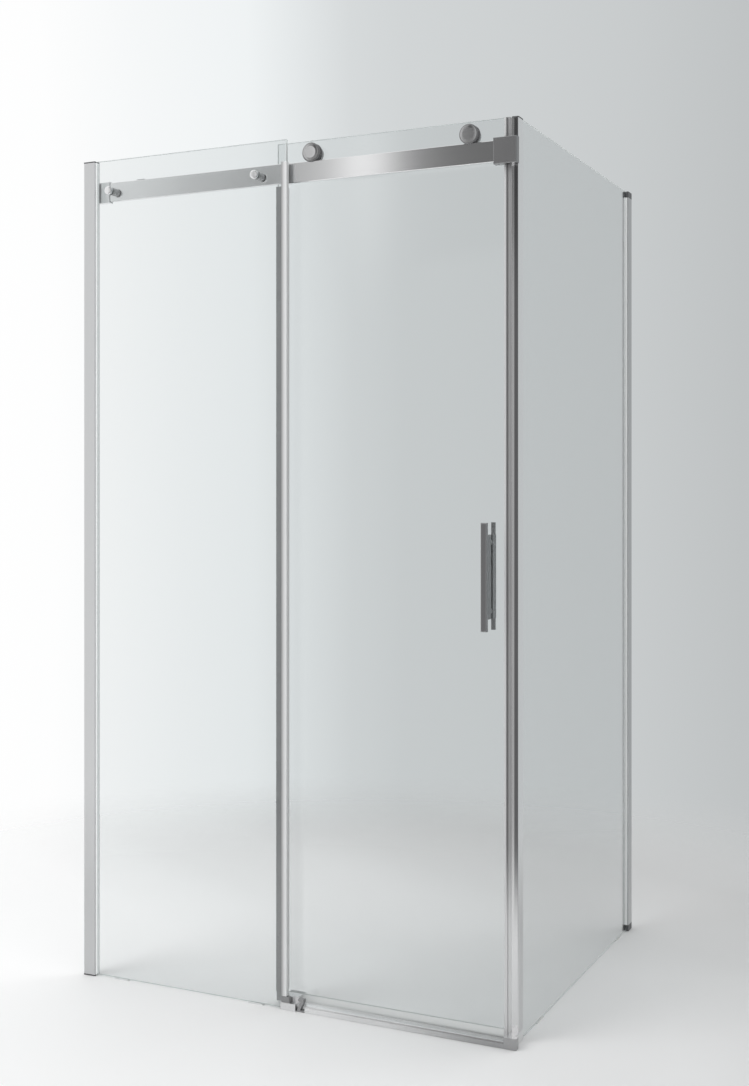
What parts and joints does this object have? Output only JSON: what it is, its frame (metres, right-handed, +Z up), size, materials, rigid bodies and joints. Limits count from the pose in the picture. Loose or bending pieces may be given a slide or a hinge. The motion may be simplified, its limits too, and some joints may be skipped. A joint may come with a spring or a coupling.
{
  "type": "shower enclosure",
  "caption": "Corner shower enclosure: fixed front pane, glass door that slides behind it on rollers along a flat rail, return pane, wall profiles and low threshold.",
  "frame": {"origin": "on the floor, in the middle of the enclosure's outline", "axes": "+Z up; +X along the front, from the left wall to the free corner; +Y from the front to the back wall"},
  "size_m": [1.1, 0.9, 1.95],
  "materials": {
    "safety_glass": "clear, polished, with ground edges",
    "wall_profile": "bright anodised",
    "profile_cap": "moulded",
    "fixings": "plain",
    "clear_seal": "clear, soft",
    "gasket": "translucent, soft",
    "rail_post": "satin",
    "edge_seal": "translucent, soft",
    "grey_seal": "soft",
    "dark_seal": "soft",
    "magnet": "magnetic strip",
    "post": "polished",
    "corner_foot": "polished",
    "threshold": "polished",
    "threshold_end": "moulded",
    "rail": "polished",
    "rail_socket": "polished",
    "corner_block": "polished",
    "rail_bolt": "polished",
    "stop": "plain",
    "stop_pad": "plain",
    "guide": "polished",
    "guide_liner": "moulded",
    "nylon": "natural",
    "handle": "polished",
    "roller_cap": "polished",
    "roller_tyre": "turned",
    "roller_steel": "turned"
  },
  "bodies": {
    "frame": {"front_wall_channel": "wall_profile", "front_glass_channel": "wall_profile", "front_glazing_gaskets": "gasket", "return_wall_channel": "wall_profile", "return_glass_channel": "wall_profile", "return_glazing_gaskets": "gasket", "channel_end_caps": "profile_cap", "channel_screws": "fixings", "fixed_glass": "safety_glass", "return_glass": "safety_glass", "setting_blocks": "clear_seal", "fixed_edge_seal": "edge_seal", "corner_post": "post", "corner_post_cap": "profile_cap", "post_glass_liner": "clear_seal", "post_magnet_holder": "grey_seal", "post_magnet": "magnet", "corner_foot": "corner_foot", "threshold": "threshold", "threshold_end_piece": "threshold_end", "rail": "rail", "rail_wall_socket": "rail_socket", "rail_corner_block": "corner_block", "rail_block_screws": "fixings", "rail_bolts": "rail_bolt", "rail_posts": "rail_post", "rail_glass_bushes": "clear_seal", "rail_stop": "stop", "rail_stop_pad": "stop_pad", "rail_stop_screws": "fixings", "guide_block": "guide", "guide_retainer": "guide", "guide_liners": "guide_liner", "guide_screws": "fixings"},
    "door": {"door_glass": "safety_glass", "door_trailing_seal": "dark_seal", "door_magnet_holder": "grey_seal", "door_magnet": "magnet", "door_bottom_sweep": "clear_seal", "handle_outer": "handle", "handle_inner": "handle", "handle_studs": "fixings", "handle_bushes": "clear_seal", "roller_axles": "roller_steel", "roller_retaining_screws": "fixings", "roller_inner_races": "roller_steel", "roller_eccentrics": "nylon", "roller_glass_washers": "clear_seal", "roller_inner_caps": "roller_cap"},
    "left_wheel": {"left_wheel_tyre": "roller_tyre", "left_wheel_hub": "roller_steel", "left_wheel_cap": "roller_cap", "left_outer_race": "roller_steel", "left_balls": "fixings"},
    "right_wheel": {"right_wheel_tyre": "roller_tyre", "right_wheel_hub": "roller_steel", "right_wheel_cap": "roller_cap", "right_outer_race": "roller_steel", "right_balls": "fixings"}
  },
  "joints": [
    {"name": "door_slide", "type": "slide", "parent": "frame", "child": "door", "axis": [-1, 0, 0], "range_m": [0, 0.44]},
    {"name": "left_wheel_spin", "type": "hinge", "parent": "door", "child": "left_wheel", "pos_m": [0.056, -0.417, 1.9193], "axis": [0, -1, 0], "range_deg": [0, 1330]},
    {"name": "right_wheel_spin", "type": "hinge", "parent": "door", "child": "right_wheel", "pos_m": [0.4365, -0.417, 1.9193], "axis": [0, -1, 0], "range_deg": [0, 1330]}
  ],
  "couplings": [
    {"joint": "left_wheel_spin", "follows": "door_slide", "rad_per_m": 52.632},
    {"joint": "right_wheel_spin", "follows": "door_slide", "rad_per_m": 52.632}
  ]
}
